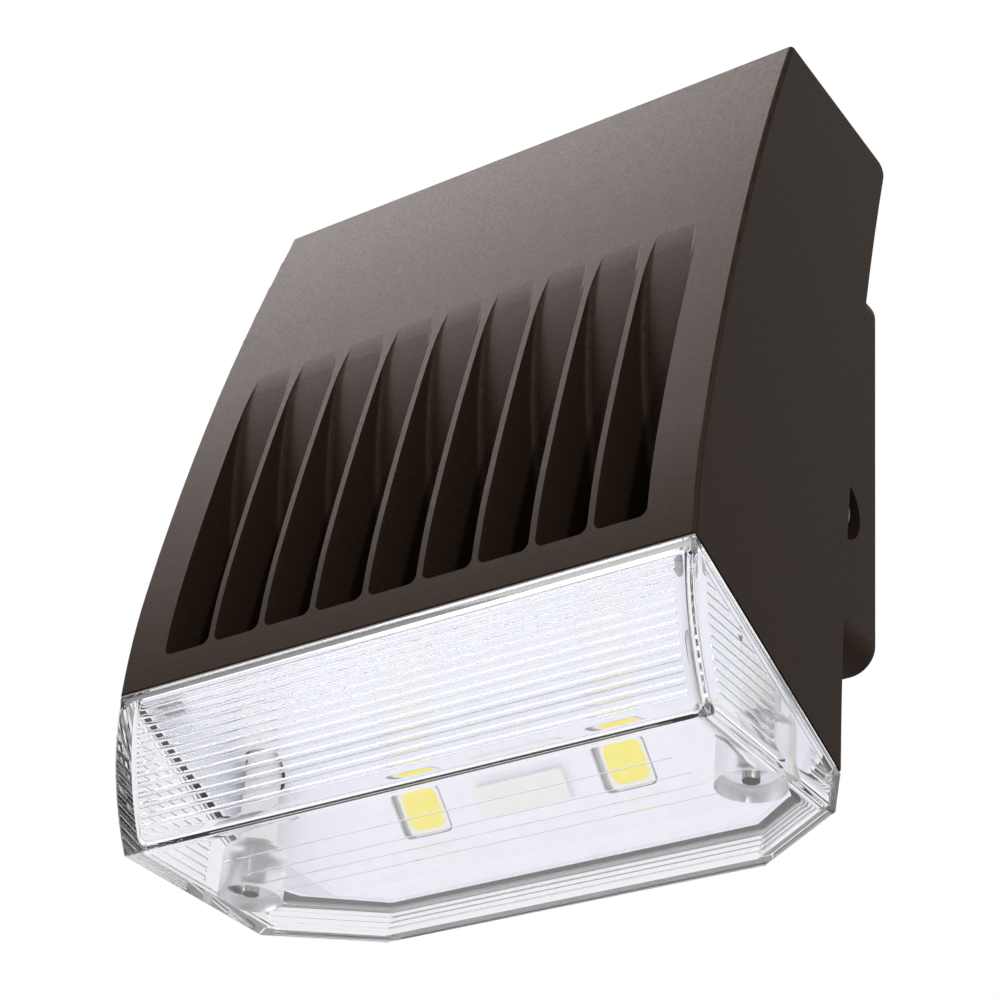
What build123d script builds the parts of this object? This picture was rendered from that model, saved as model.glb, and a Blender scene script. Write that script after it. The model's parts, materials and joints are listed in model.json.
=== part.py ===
"""Wall pack light: a sloping die-cast door with a lamp chamber, hinged at the top of a wall box.

Millimetres. +Z is up, +X is to the viewer's right and the light faces -Y. The origin is the
centre of the back box's mounting face, on the wall plane y = 0.
"""

from build123d import *
from math import asin, cos, radians, sin, sqrt, tan
import os

# ---- housing outline -------------------------------------------------------
body_width = 162.0          # over the two flat side faces
door_depth = 54.0           # land of the door seal to the front's foremost line
wall = 3.0                  # casting wall
lamp_corner_drop = 4.0      # front lower corner, below the lamp chamber's roof
front_low_radius = 190.0    # lower bow of the front face
front_low_angle = 9.0       # degrees that the lower bow turns through
front_high_radius = 814.7   # upper, nearly flat bow of the front face
front_high_angle = 15.0     # degrees, enough to run past the top
top_over_hinge = 11.3       # rear edge of the top, above the hinge's axis
top_rear_depth = 6.2        # how far that edge stands off the wall
top_slope = 4.77            # degrees, the top falls towards the wall
rear_edge_radius = 817.0    # bow of the side walls' rear edges
rear_low_depth = 28.2       # lower rear corner of the side walls
side_edge_drop = 26.9       # that corner, below the front lower corner
edge_round = 1.0            # outer edges of the casting
top_rear_round = 3.0

# ---- lamp chamber ----------------------------------------------------------
chamber_rear_depth = 10.9   # rear wall of the lamp chamber
chamber_chamfer = 27.0      # chamfer's width, from the side face to that wall
chamber_roof = 4.5          # thickness of its roof

# ---- cooling slots ---------------------------------------------------------
slot_count = 9
slot_margin = 12.6          # side face to the first slot
slot_fin = 1.7              # metal left between two slots
slot_foot_wall = 3.7        # metal between a slot's foot and the lamp chamber
slot_floor_radius = 130.0
slot_floor_behind = 144.3   # centre of the floor's arc, behind the foremost line
slot_floor_rise = 68.8      # and above the slot's foot
slot_roll_radius = 60.0     # roll of the floor where it leaves the front face
slot_roll_lift = 0.005      # the roll's highest point, proud of the face
slot_round = 2.2            # corners at a slot's foot
slot_floor_round = 1.6      # round between a slot's walls and its floor

# ---- back box --------------------------------------------------------------
box_side_gap = 2.7          # between the box and the housing's side walls
box_low_gap = 4.2           # between the box and the lamp chamber's roof
box_height = 110.6
box_depth = 36.0
box_wall = 3.0
box_back = 3.5
box_corner = 7.0
box_foot_round = 1.5        # round of the box's edge against the wall
wire_hole_radius = 14.0
wall_slot_width = 5.0
wall_slot_length = 9.0
round_box_spacing = 88.9    # slots for a round or octagonal wall box
single_gang_spacing = 83.3  # slots for a single-gang wall box
keyhole_inset = 15.3        # from the box's side face
keyhole_z = 22.0
keyhole_head_radius = 4.5
keyhole_neck_width = 4.6
keyhole_rise = 9.0

# ---- seals -----------------------------------------------------------------
wall_seal_depth = 1.5
wall_seal_width = 5.0
wall_seal_inset = 2.0
door_seal_depth = 2.0
door_seal_width = 5.0
land_margin = 1.0           # door metal on each side of the door seal
land_thickness = 4.0        # flange that carries the door seal
lens_seal_depth = 1.0
lens_seal_width = 2.0

# ---- hinge -----------------------------------------------------------------
hinge_y = -14.5
hinge_rise = 25.2           # axis above the box's top face
hinge_x = 45.0
hinge_pin_radius = 2.5
hinge_running = 0.08        # radial play of the pin in the door's knuckle
knuckle_radius = 5.5
knuckle_width = 8.0
hinge_lug = 4.0
hinge_gap = 0.4
pin_head_radius = 3.6
pin_head = 1.4

# ---- side screws -----------------------------------------------------------
side_screw_y = -17.5
side_screw_z = -18.0
side_recess_radius = 8.5
side_recess_depth = 3.5
side_boss_wall = 4.0
side_boss_radius = 10.0
clip_seat_radius = 5.6
clip_seat_depth = 1.2
clip_radius = 4.8
clip_thickness = 0.8
clip_groove = 0.5
side_head_radius = 4.5
side_head = 2.8
side_shank_radius = 2.5
side_shank_length = 19.0
side_running = 0.08
side_play = 0.1             # end play of the head on its seat
lug_thickness = 5.5
lug_height = 14.0
lug_gap = 0.3
lug_slot_width = 7.5
lug_reach = 6.5             # lug past the screw's axis
bracket_foot = 3.0
bracket_side_gap = 1.0      # from the foot to the housing's side wall
bracket_screw_radius = 1.5
bracket_screw_head_radius = 2.8
bracket_screw_head = 1.8
bracket_screw_length = 5.5
nut_thickness = 4.0
nut_height = 12.0
nut_front = 6.5             # nut ahead of the screw's axis
nut_gap = 0.3
drive_width = 1.2           # driving recess of the screws
drive_depth = 1.3
drive_span = 5.6

# ---- lens ------------------------------------------------------------------
lens_wall = 3.0
lens_rear_height = 11.6
lens_front_radius = 78.4
lens_rear_lean = 2.4        # rear faces lean forward by this much over the lens's height
lens_inner_round = 3.0      # between the panes, inside
rib_count = 13
rib_pitch = 2.3
rib_radius = 0.7
rib_depth = 0.45
rib_top_gap = 3.4
rim_height = 2.6            # seal to the groove that ends the rim
rim_groove_radius = 0.45
rim_groove_depth = 0.35
rear_rib_count = 4
rear_rib_pitch = 1.6
rear_rib_gap = 1.0          # seal to the first rear flute
rear_rib_radius = 0.55
rear_rib_depth = 0.4
floor_line_radius = 0.3
floor_line_depth = 0.2
floor_line_places = (-67.4, -59.6, -54.0, -48.6)
post_inset = 11.0           # from the side face
post_y = -48.0
post_radius = 8.0
post_height = 16.5
post_round = 2.5            # top edge of the post
post_thread = 10.0          # screw's depth in the post
lens_screw_radius = 2.0
lens_screw_head_radius = 4.2
lens_screw_head = 2.8
lens_screw_hole = 0.3       # radial clearance in the housing
lens_washer = 1.0
lens_washer_radius = 5.0
spacer_radius = 4.5          # white sleeve round the screw, above the post

# ---- reflector and lamp ----------------------------------------------------
tray_sheet = 0.8
tray_drop = 3.5             # flat front part, below the chamber roof's underside
tray_bend_depth = 50.5
tray_low_depth = 24.0
tray_low_rise = 0.9         # above the chamber's lower rear edge
tray_rear_depth = 15.0
tray_rear_inset = 1.5       # inside the chamber's rear wall, each side
tray_side_inset = 5.0      # from the side face to the tray's side corner
tray_side_depth = 31.5
tray_skirt_gap = 0.4        # above the housing's lower edge
tray_edge_gap = 1.0
facet_to_lamp = 21.8        # from the tray's bend down the slope to the lamp's centre
lamp_x = 29.1
lamp_frame = 11.8
lamp_frame_round = 1.8
lamp_frame_rise = 0.2
phosphor_width = 10.3
phosphor_height = 10.2
phosphor_lift = 0.5         # up the slope from the frame's centre
phosphor_round = 2.6
phosphor_depth = 0.4
window_slit = 2.4
window_gap = 0.35
board_gap = 1.4             # behind the tray, for the screw heads
board_thickness = 1.6
board_half = 44.0
board_up = 13.0
board_down = 12.0
pad_thickness = 0.5
pad_inner = 14.0
board_screw_radius = 1.5
board_screw_head_radius = 2.6
board_screw_head = 1.2
board_screw_length = 8.0
board_screw_inner_x = 18.0
board_screw_outer_x = 40.0
board_screw_up = 9.0
board_screw_down = 9.0
cover_half = 12.6
cover_rise = 1.8
cover_low = 5.2
cover_high = 3.0
cover_slot_half = 9.0
cover_slot_low = 4.0
cover_slot_high = 1.0
tray_screw_inset = 8.0      # from the side face
tray_screw_behind = 12.0    # behind the foremost line
tray_screw_radius = 1.5
tray_screw_head_radius = 3.0
tray_screw_head = 1.6
tray_screw_length = 6.5
tray_boss_radius = 4.0

# ---- driver ----------------------------------------------------------------
driver_half = 48.0
driver_low_z = -5.0
driver_height = 40.0
driver_behind = 23.0        # front of the case, behind the foremost line
driver_rear_gap = 1.0       # between the case and the seal land's plane
driver_wall = 1.5
driver_lid = 1.5
driver_flange = 13.0
driver_flange_thickness = 2.0
driver_screw_inset = 6.0
driver_screw_rise = 10.0
driver_screw_radius = 1.75
driver_screw_head_radius = 3.2
driver_screw_head = 2.0
driver_screw_length = 6.0
driver_boss_radius = 4.5
driver_board_gap = 4.0
driver_board_thickness = 1.6
driver_board_edge = 0.3
board_leg_inset = 7.0
transformer_width = 18.0
transformer_height = 20.0
component_gap = 3.9         # over the tallest component, under the lid
capacitor_radius = 5.0
capacitor_gap = 4.9
capacitor_places = (22.0, 34.0)
capacitor_rise = 6.0
choke_radius = 7.0
choke_length = 8.0
choke_x = -28.0

# ---- wires -----------------------------------------------------------------
wire_radius = 0.9
supply_x = -40.0
supply_pitch = 14.0
supply_y = -54.0
supply_length = 14.0
nut_cap_radius = 5.5
nut_cap_tip_radius = 3.4
nut_cap_length = 17.0
nut_cap_socket = 5.0
lead_half_pitch = 1.6
lead_bend = 1.4
lead_foot_y = -41.0
grommet_hole_radius = 4.0
grommet_flange_radius = 6.0
grommet_flange = 1.2
grommet_gap = 0.3           # from the flange to the land of the door seal
ground_x = -30.0
ground_z = -35.0
ground_boss_radius = 4.0
ground_boss = 5.0
ground_screw_radius = 1.9
ground_head_radius = 3.8
ground_head = 2.4

# ---- shared values worked out from the sizes above -------------------------
half = body_width / 2
inner_half = half - wall

# depths, from the wall forwards
land_y = -box_depth - door_seal_depth
deep_y = land_y - land_thickness
body_depth = door_depth - land_y
slot_floor_centre_y = -body_depth + slot_floor_behind
tray_screw_y = -body_depth + tray_screw_behind
driver_front_y = -body_depth + driver_behind
driver_depth = deep_y - driver_rear_gap - driver_front_y
lead_y = deep_y - grommet_flange_radius - grommet_gap

# widths
box_half = inner_half - box_side_gap
box_width = 2 * box_half
box_inner = box_half - box_wall
chamber_rear_half = half - chamber_chamfer
slot_pitch = (body_width - 2 * slot_margin + slot_fin) / slot_count
keyhole_x = box_half - keyhole_inset
post_x = half - post_inset
tray_rear_half = chamber_rear_half - tray_rear_inset
tray_side_half = half - tray_side_inset
tray_screw_x = half - tray_screw_inset

# heights, from the box's middle up and down
box_half_z = box_height / 2
box_inner_z = box_half_z - box_wall
hinge_z = box_half_z + hinge_rise
top_rear_z = hinge_z + top_over_hinge
chamber_roof_z = -box_half_z - box_low_gap
roof_under_z = chamber_roof_z - chamber_roof
slot_low_z = roof_under_z + slot_foot_wall
slot_floor_centre_z = slot_low_z + slot_floor_rise
lamp_corner_z = roof_under_z - lamp_corner_drop
rear_low_z = lamp_corner_z - side_edge_drop
lens_low_z = rear_low_z - lens_rear_height
post_top_z = lens_low_z + post_height
tray_low_z = rear_low_z + tray_low_rise

# the land that carries the door seal, centred on the box's rim
box_rim_middle = box_wall / 2
land_inner = box_half - box_rim_middle - door_seal_width / 2 - land_margin
land_inner_z = box_half_z - box_rim_middle - door_seal_width / 2 - land_margin
land_outer_z = box_half_z - box_rim_middle + door_seal_width / 2 + land_margin
edge_slope = -side_edge_drop / (body_depth - rear_low_depth)
far = 4 * body_width        # beyond every face of the light


# ---- helpers ---------------------------------------------------------------
def along_x(outline, x_from, x_to):
    """A solid from an outline in (y, z), between two x positions."""
    return extrude(Plane.YZ.offset(x_from) * outline, x_to - x_from)


def along_z(outline, z_from, z_to):
    """A solid from an outline in (x, y), between two heights."""
    return extrude(Plane.XY.offset(z_from) * outline, z_to - z_from)


def along_y(outline, y_from, y_to):
    """A solid from an outline in (x, z), between two depths."""
    plane = Plane(origin=(0, y_to, 0), x_dir=(1, 0, 0), z_dir=(0, -1, 0))
    return extrude(plane * outline, y_to - y_from)


def outline(*points):
    """A closed face through the given points."""
    return make_face(Polyline(*points, close=True))


def block(x_from, x_to, y_from, y_to, z_from, z_to):
    """A box between two corners."""
    size = Box(x_to - x_from, y_to - y_from, z_to - z_from)
    return Pos((x_from + x_to) / 2, (y_from + y_to) / 2, (z_from + z_to) / 2) * size


def rod_between(radius, start, end):
    """A round bar from one point to another."""
    run = Vector(*end) - Vector(*start)
    return extrude(Plane(origin=start, z_dir=run) * Circle(radius), run.length)


def rod_x(radius, x_from, x_to, y, z):
    """A round bar along X."""
    bar = Cylinder(radius, abs(x_to - x_from), rotation=(0, 90, 0))
    return Pos((x_from + x_to) / 2, y, z) * bar


def rod_y(radius, y_from, y_to, x, z):
    """A round bar along Y."""
    bar = Cylinder(radius, y_to - y_from, rotation=(90, 0, 0))
    return Pos(x, (y_from + y_to) / 2, z) * bar


def rod_z(radius, z_from, z_to, x, y):
    """A round bar along Z."""
    return Pos(x, y, (z_from + z_to) / 2) * Cylinder(radius, z_to - z_from)


def mirrored(shape):
    """The same shape on the other side of the light's middle plane."""
    return mirror(shape, about=Plane.YZ)


def both_sides(shape):
    """The shape on its own side and mirrored."""
    return [shape, mirrored(shape)]


def save(node, shapes):
    """Write one sub-part; several solids stay separate in it."""
    solids = [s for shape in shapes for s in shape.solids()]
    shape = solids[0] if len(solids) == 1 else Compound(children=solids)
    export_step(shape, f"parts/{node}.step")


# ---- regions of the side view, in (y, z) -----------------------------------
def front_centres():
    """Centres of the front face's lower and upper bow."""
    low = (-body_depth + front_low_radius, lamp_corner_z)
    turn = radians(front_low_angle)
    apart = front_high_radius - front_low_radius
    return low, (low[0] + apart * cos(turn), low[1] - apart * sin(turn))


def behind_front(inset):
    """Everything behind the front face, moved back by inset."""
    low_centre, high_centre = front_centres()
    turn = radians(front_low_angle)
    end = turn + radians(front_high_angle)

    def on(centre, radius, angle):
        return (centre[0] - (radius - inset) * cos(angle), centre[1] + (radius - inset) * sin(angle))

    start = on(low_centre, front_low_radius, 0)
    bend = on(low_centre, front_low_radius, turn)
    last = on(high_centre, front_high_radius, end)
    low_arc = ThreePointArc(start, on(low_centre, front_low_radius, turn / 2), bend)
    high_arc = ThreePointArc(bend, on(high_centre, front_high_radius, (turn + end) / 2), last)
    rest = Polyline(last, (far, last[1]), (far, -far), (start[0], -far), start)
    return make_face(low_arc + high_arc + rest)


def below_top(inset):
    """Everything below the sloping top, lowered by inset."""
    rise = tan(radians(top_slope))
    drop = inset / cos(radians(top_slope))

    def top_at(y):
        return (y, top_rear_z - drop - rise * (y + top_rear_depth))

    return outline(top_at(-far / 2), top_at(far / 2), (far / 2, -far), (-far / 2, -far))


def above_edge(drop):
    """Everything above the lower edge of the housing, that edge lowered by drop."""
    corner = (-rear_low_depth, rear_low_z - drop)
    front = (-far / 2, corner[1] - edge_slope * (far / 2 - rear_low_depth))
    return outline(corner, (far / 2, corner[1]), (far / 2, far), (-far / 2, far), front)


def outside_rear_arc():
    """The disc behind the side walls' bowed rear edges."""
    return Pos(-rear_low_depth + rear_edge_radius, rear_low_z) * Circle(rear_edge_radius)


def chamber_plan(shift=0.0, reach=2.0):
    """Plan of the lamp chamber: open wide at the front, chamfered at the rear."""
    side = half * reach
    slope = (rear_low_depth - chamber_rear_depth) / (half - chamber_rear_half)
    side_y = -chamber_rear_depth - slope * (side - chamber_rear_half) - shift
    rear_y = -chamber_rear_depth - shift
    points = [(-chamber_rear_half, rear_y), (chamber_rear_half, rear_y), (side, side_y)]
    return outline(*points, (side, -far), (-side, -far), (-side, side_y))


def chamber_inside():
    """Plan of the chamber's clear inside."""
    return offset(chamber_plan(), -wall) & Rectangle(2 * inner_half, 2 * (body_depth - wall))


# ---- lamp plane: x along the light, y up the slope, z out of the tray -------
tray_points = [
    (-body_depth + wall + tray_edge_gap, roof_under_z - tray_drop),
    (-tray_bend_depth, roof_under_z - tray_drop),
    (-tray_low_depth, tray_low_z),
    (-tray_rear_depth, tray_low_z),
]
facet = Vector(*tray_points[2]) - Vector(*tray_points[1])
facet_unit = facet.normalized()
lamp_y = tray_points[1][0] + facet_unit.X * facet_to_lamp
lamp_z = tray_points[1][1] + facet_unit.Y * facet_to_lamp
lamp_plane = Plane(
    origin=(0, lamp_y, lamp_z), x_dir=(1, 0, 0), z_dir=(0, facet_unit.Y, -facet_unit.X)
)
tray_seat_z = tray_points[0][1]
board_front = -tray_sheet - board_gap
board_back = board_front - board_thickness
pad_back = board_back - pad_thickness


def on_lamp(shape_2d, level_from, level_to):
    """A solid on the lamp plane between two levels."""
    return extrude(lamp_plane.offset(level_from) * shape_2d, level_to - level_from)


# ---- housing ---------------------------------------------------------------
def housing_skin():
    """The casting's outer form, without any hollow."""
    side = (behind_front(0) & below_top(0)) - outside_rear_arc()
    side = side & above_edge(0)
    body = along_x(side, -half, half)
    long_edges = body.edges().filter_by(lambda e: abs(e.tangent_at(0.5).X) < 0.5)
    front_edges = long_edges.filter_by(lambda e: e.center().Y < -body_depth / 2 and e.length > 2 * wall)
    body = fillet(front_edges.filter_by(lambda e: e.center().Z > lamp_corner_z), edge_round)
    top_rear = body.edges().filter_by(Axis.X).filter_by(
        lambda e: e.center().Z > top_rear_z - wall and e.center().Y > -body_depth / 4
    )
    body = fillet(top_rear, top_rear_round)
    tail = along_z(chamber_plan() & Rectangle(body_width, 2 * body_depth), rear_low_z, chamber_roof_z)
    tail = tail & along_x(above_edge(0) & behind_front(wall), -half, half)
    return body + tail


def slot_side():
    """Side view of what one slot takes away: foot, bowed floor and the roll at its tip."""
    floor = Vector(slot_floor_centre_y, slot_floor_centre_z)
    face = Vector(*front_centres()[1])
    to_floor = slot_floor_radius - slot_roll_radius
    to_face = front_high_radius - slot_roll_radius + slot_roll_lift
    apart = (floor - face).length
    unit = (floor - face).normalized()
    along = (to_face**2 - to_floor**2 + apart**2) / (2 * apart)
    roll = face + unit * along + Vector(-unit.Y, unit.X) * sqrt(to_face**2 - along**2)
    bend = floor + (roll - floor).normalized() * slot_floor_radius
    tip = face + (roll - face).normalized() * (front_high_radius + slot_roll_lift)
    rise = slot_low_z - floor.Y
    foot = Vector(floor.X - sqrt(slot_floor_radius**2 - rise**2), slot_low_z)

    def bow(start, end, centre, radius):
        middle = ((start + end) / 2 - centre).normalized()
        return ThreePointArc(start, centre + middle * radius, end)

    arcs = bow(foot, bend, floor, slot_floor_radius) + bow(bend, tip, roll, slot_roll_radius)
    return make_face(arcs + Polyline(tip, (-far, tip.Y), (-far, foot.Y), foot))


def slot_cutter():
    """One cooling slot: deep at its foot, running out to nothing at its tip."""
    width = slot_pitch - slot_fin
    cutter = along_x(slot_side(), -width / 2, width / 2)
    foot = cutter.edges().filter_by(Axis.Y).filter_by(lambda e: e.center().Z < slot_low_z + wall)
    cutter = fillet(foot, slot_round)
    floor = cutter.edges().filter_by(
        lambda e: e.center().Y > -body_depth and abs(e.tangent_at(0.5).Y) < 0.9
    )
    floor = floor.filter_by(
        lambda e: abs(e.tangent_at(0.5).X) < 0.5 or e.center().Z < slot_low_z + wall
    )
    return fillet(floor, slot_floor_round)


def housing():
    body = housing_skin()

    # pocket for the back box, hinge recess above it and the land for the door seal
    below = below_top(wall)
    within = along_x(behind_front(wall) & below, -inner_half, inner_half)
    pocket = block(-inner_half, inner_half, land_y, wall, chamber_roof_z, far / 4)
    body -= pocket & along_x(below, -inner_half, inner_half)

    # driver cavity, its mouth through the land, and cores beside the slots
    behind_slots = rod_x(
        slot_floor_radius - wall, -inner_half, inner_half, slot_floor_centre_y, slot_floor_centre_z
    )
    slot_half = (slot_count * slot_pitch - slot_fin) / 2
    room = block(-inner_half, inner_half, -body_depth, deep_y, chamber_roof_z, land_inner_z) & within
    ends = Box(far, far, far) - Box(2 * (slot_half + wall), far, far)
    cavity = (room & behind_slots) + (room & ends)
    mouth = block(-land_inner, land_inner, deep_y, land_y, -land_inner_z, land_inner_z)
    body -= cavity
    body -= mouth

    # hollow above the driver cavity
    hollow_low = land_inner_z + wall
    body -= block(-inner_half, inner_half, -body_depth, deep_y, hollow_low, far / 4) & within
    body -= (
        block(-inner_half, inner_half, deep_y - 1, land_y, land_outer_z, far / 4) & within
    )

    # lamp chamber, open below
    body -= along_z(chamber_inside(), rear_low_z - body_depth, roof_under_z)

    # cooling slots
    cutter = slot_cutter()
    first = -(slot_count - 1) / 2 * slot_pitch
    for i in range(slot_count):
        body -= Pos(first + i * slot_pitch, 0, 0) * cutter

    body += knuckles() + lamp_pads() + chamber_bosses() + driver_bosses()
    body -= rod_z(grommet_hole_radius, roof_under_z, chamber_roof_z, 0, lead_y)
    for hole in screw_holes():
        body -= hole
    return body


def casting_parts():
    """The casting in three sections that meet face to face: front, rear frame and lamp hood."""
    body = housing()
    part_z = (slot_low_z + roof_under_z) / 2
    front = body & block(-far, far, -far, deep_y, part_z, far)
    frame = body & block(-far, far, deep_y, far, part_z, far)
    hood = body & block(-far, far, -far, far, -far, part_z)
    return front, frame, hood


def knuckles():
    """Door halves of the two hinges, hanging from the top wall."""
    left = hinge_x - knuckle_width / 2
    arm = outline(
        (hinge_y - knuckle_radius, hinge_z), (hinge_y + knuckle_radius, hinge_z),
        (hinge_y + knuckle_radius, top_rear_z + knuckle_radius),
        (hinge_y - knuckle_radius, top_rear_z + knuckle_radius),
    )
    knuckle = along_x(arm & below_top(wall / 2), left, left + knuckle_width)
    knuckle += rod_x(knuckle_radius, left, left + knuckle_width, hinge_y, hinge_z)
    knuckle -= rod_x(
        hinge_pin_radius + hinge_running, left, left + knuckle_width, hinge_y, hinge_z
    )
    return both_sides(knuckle)


def lamp_pads():
    """Sloping pads behind the lamp board, which carry its heat into the casting."""
    span = Pos((pad_inner + board_half) / 2, (board_up - board_down) / 2) * Rectangle(
        board_half - pad_inner, board_up + board_down
    )
    pad = extrude(lamp_plane.offset(pad_back) * span, -far)
    room = along_z(chamber_inside(), tray_low_z, roof_under_z + chamber_roof / 2)
    room += along_z(
        offset(chamber_plan(), -wall / 2) & Rectangle(2 * inner_half, 2 * body_depth),
        tray_low_z, roof_under_z,
    )
    return both_sides(pad & room)


def chamber_bosses():
    """Two screw bosses in the lamp chamber, for the tray."""
    tray_boss = rod_z(
        tray_boss_radius, tray_seat_z + tray_sheet, roof_under_z + wall / 2, tray_screw_x, tray_screw_y
    )
    return both_sides(tray_boss)


def driver_bosses():
    """Four bosses on the front wall of the driver cavity."""
    x, heights = driver_screw_places()
    bosses = [
        rod_y(driver_boss_radius, driver_front_y - 2 * wall, driver_front_y, x, z) for z in heights
    ]
    return [b for boss in bosses for b in both_sides(boss)]


def driver_screw_places():
    """Distance from the middle plane, and the two heights, of the driver's screws."""
    low = driver_low_z + driver_screw_rise
    high = driver_low_z + driver_height - driver_screw_rise
    return driver_half + driver_flange - driver_screw_inset, (low, high)


def side_boss_inner():
    """Inner end of the box's side screw bosses."""
    return box_half - side_recess_depth - side_boss_wall


def screw_holes():
    """Holes in the casting, one for each screw that ends in it or passes through it."""
    holes = []
    clear = lens_screw_radius + lens_screw_hole
    holes += both_sides(rod_z(clear, post_top_z, chamber_roof_z, post_x, post_y))
    tray_top = tray_seat_z + tray_screw_length
    tray_hole = rod_z(tray_screw_radius, tray_seat_z, tray_top, tray_screw_x, tray_screw_y)
    holes += both_sides(tray_hole)
    for x, y in board_screw_places():
        hole = Pos(x, y) * Circle(board_screw_radius)
        holes.append(on_lamp(hole, board_front - board_screw_length, board_front))
    bracket_end = bracket_front() + bracket_screw_length
    bracket_hole = rod_y(
        bracket_screw_radius, bracket_front(), bracket_end, bracket_screw_x(), side_screw_z
    )
    holes += both_sides(bracket_hole)
    x, heights = driver_screw_places()
    seat = driver_front_y + driver_flange_thickness
    for z in heights:
        holes += both_sides(rod_y(driver_screw_radius, seat - driver_screw_length, seat, x, z))
    return holes


def board_screw_places():
    """The four lamp board screws, on the lamp plane."""
    outer = [(-board_screw_outer_x, board_screw_up), (board_screw_outer_x, board_screw_up)]
    inner = [(-board_screw_inner_x, -board_screw_down), (board_screw_inner_x, -board_screw_down)]
    return outer + inner


# ---- back box --------------------------------------------------------------
def rounded(width, height, radius):
    """A rounded rectangle, centred."""
    return RectangleRounded(width, height, radius)


def back_box():
    body = along_y(rounded(box_width, box_height, box_corner), -box_depth, 0)
    foot = body.faces().sort_by(Axis.Y)[-1].edges()
    body = fillet(foot, box_foot_round)
    inside = rounded(2 * box_inner, 2 * box_inner_z, box_corner - box_wall)
    body -= along_y(inside, -box_depth, -box_back)

    # side screw bosses and their recesses
    inner = side_boss_inner()
    floor = box_half - side_recess_depth
    for sign in (-1, 1):
        body += rod_x(side_boss_radius, sign * inner, sign * (box_half - 1), side_screw_y, side_screw_z)
        body -= rod_x(side_recess_radius, sign * floor, sign * (box_half + 1), side_screw_y, side_screw_z)
        bore = side_shank_radius + side_running
        body -= rod_x(bore, sign * inner, sign * box_half, side_screw_y, side_screw_z)
        seat = inner + clip_seat_depth
        body -= rod_x(clip_seat_radius, sign * inner, sign * seat, side_screw_y, side_screw_z)

    # hinge lugs on the top wall
    near = hinge_x - knuckle_width / 2 - hinge_gap
    away = hinge_x + knuckle_width / 2 + hinge_gap
    for start in (near - hinge_lug, away):
        lug = block(
            start, start + hinge_lug, hinge_y - knuckle_radius, hinge_y + knuckle_radius,
            box_inner_z, hinge_z,
        )
        lug += rod_x(knuckle_radius, start, start + hinge_lug, hinge_y, hinge_z)
        lug -= rod_x(hinge_pin_radius, start, start + hinge_lug, hinge_y, hinge_z)
        for one in both_sides(lug):
            body += one

    body += rod_y(ground_boss_radius, -box_back - ground_boss, -box_back, ground_x, ground_z)
    body -= rod_y(ground_screw_radius, -box_back - ground_boss, -box_back, ground_x, ground_z)

    # openings towards the wall
    body -= rod_y(wire_hole_radius, -box_back - 1, 1, 0, 0)
    for x in (-round_box_spacing / 2, round_box_spacing / 2):
        slot = Pos(x, 0) * SlotOverall(wall_slot_length, wall_slot_width)
        body -= along_y(slot, -box_back - 1, 1)
    for z in (-single_gang_spacing / 2, single_gang_spacing / 2):
        slot = Pos(0, z) * SlotOverall(wall_slot_length, wall_slot_width, rotation=90)
        body -= along_y(slot, -box_back - 1, 1)
    for x in (-keyhole_x, keyhole_x):
        neck = Pos(x, keyhole_z + keyhole_rise / 2) * SlotOverall(
            keyhole_rise + keyhole_neck_width, keyhole_neck_width, rotation=90
        )
        body -= along_y(neck, -box_back - 1, 1)
        body -= rod_y(keyhole_head_radius, -box_back - 1, 1, x, keyhole_z)
    body -= wall_seal()
    return body


def wall_seal():
    """Foam seal in a groove round the mounting face."""
    inset = box_foot_round + wall_seal_inset
    outer = rounded(box_width - 2 * inset, box_height - 2 * inset, box_corner - inset)
    inner_inset = inset + wall_seal_width
    inner = Rectangle(box_width - 2 * inner_inset, box_height - 2 * inner_inset)
    return along_y(outer - inner, -wall_seal_depth, 0)


def door_seal():
    """Seal between the back box's rim and the land of the door."""
    grow = door_seal_width - box_wall
    outer = rounded(box_width + grow, box_height + grow, box_corner + grow / 2)
    inner = rounded(2 * box_inner - grow, 2 * box_inner_z - grow, box_corner - box_wall - grow / 2)
    return along_y(outer - inner, land_y, -box_depth)


def hinge_pin():
    """Pin through the two lugs and the knuckle between them, with its head outside."""
    reach = knuckle_width / 2 + hinge_gap + hinge_lug
    pin = rod_x(hinge_pin_radius, hinge_x - reach, hinge_x + reach, hinge_y, hinge_z)
    return pin + rod_x(
        pin_head_radius, hinge_x + reach, hinge_x + reach + pin_head, hinge_y, hinge_z
    )


def ground_screw():
    """Green ground screw in its boss on the box's back."""
    seat = -box_back - ground_boss
    screw = rod_y(ground_screw_radius, seat, -box_back, ground_x, ground_z)
    screw += rod_y(ground_head_radius, seat - ground_head, seat, ground_x, ground_z)
    slot = block(
        ground_x - ground_head_radius, ground_x + ground_head_radius,
        seat - ground_head, seat - ground_head + drive_depth,
        ground_z - drive_width / 2, ground_z + drive_width / 2,
    )
    return screw - slot


# ---- side screws -----------------------------------------------------------
def side_screw():
    """Captive screw in the right side of the box; its head sits in the recess."""
    seat = box_half - side_recess_depth + side_play
    screw = rod_x(side_head_radius, seat, seat + side_head, side_screw_y, side_screw_z)
    screw += rod_x(side_shank_radius, seat - side_shank_length, seat, side_screw_y, side_screw_z)
    groove = rod_x(side_shank_radius + 1, clip_from(), clip_from() + clip_thickness, side_screw_y, side_screw_z)
    groove -= rod_x(
        side_shank_radius - clip_groove, clip_from(), clip_from() + clip_thickness,
        side_screw_y, side_screw_z,
    )
    screw -= groove
    top = seat + side_head
    for turn in (0, 90):
        arm = Box(drive_depth, drive_width, drive_span)
        drive = Pos(top - drive_depth / 2, side_screw_y, side_screw_z) * Rot(turn, 0, 0)
        screw -= drive * arm
    return screw


def clip_from():
    """Inner face of the retaining clip, midway in its seat."""
    seat = side_boss_inner() + clip_seat_depth
    return seat - clip_thickness - side_play


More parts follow.
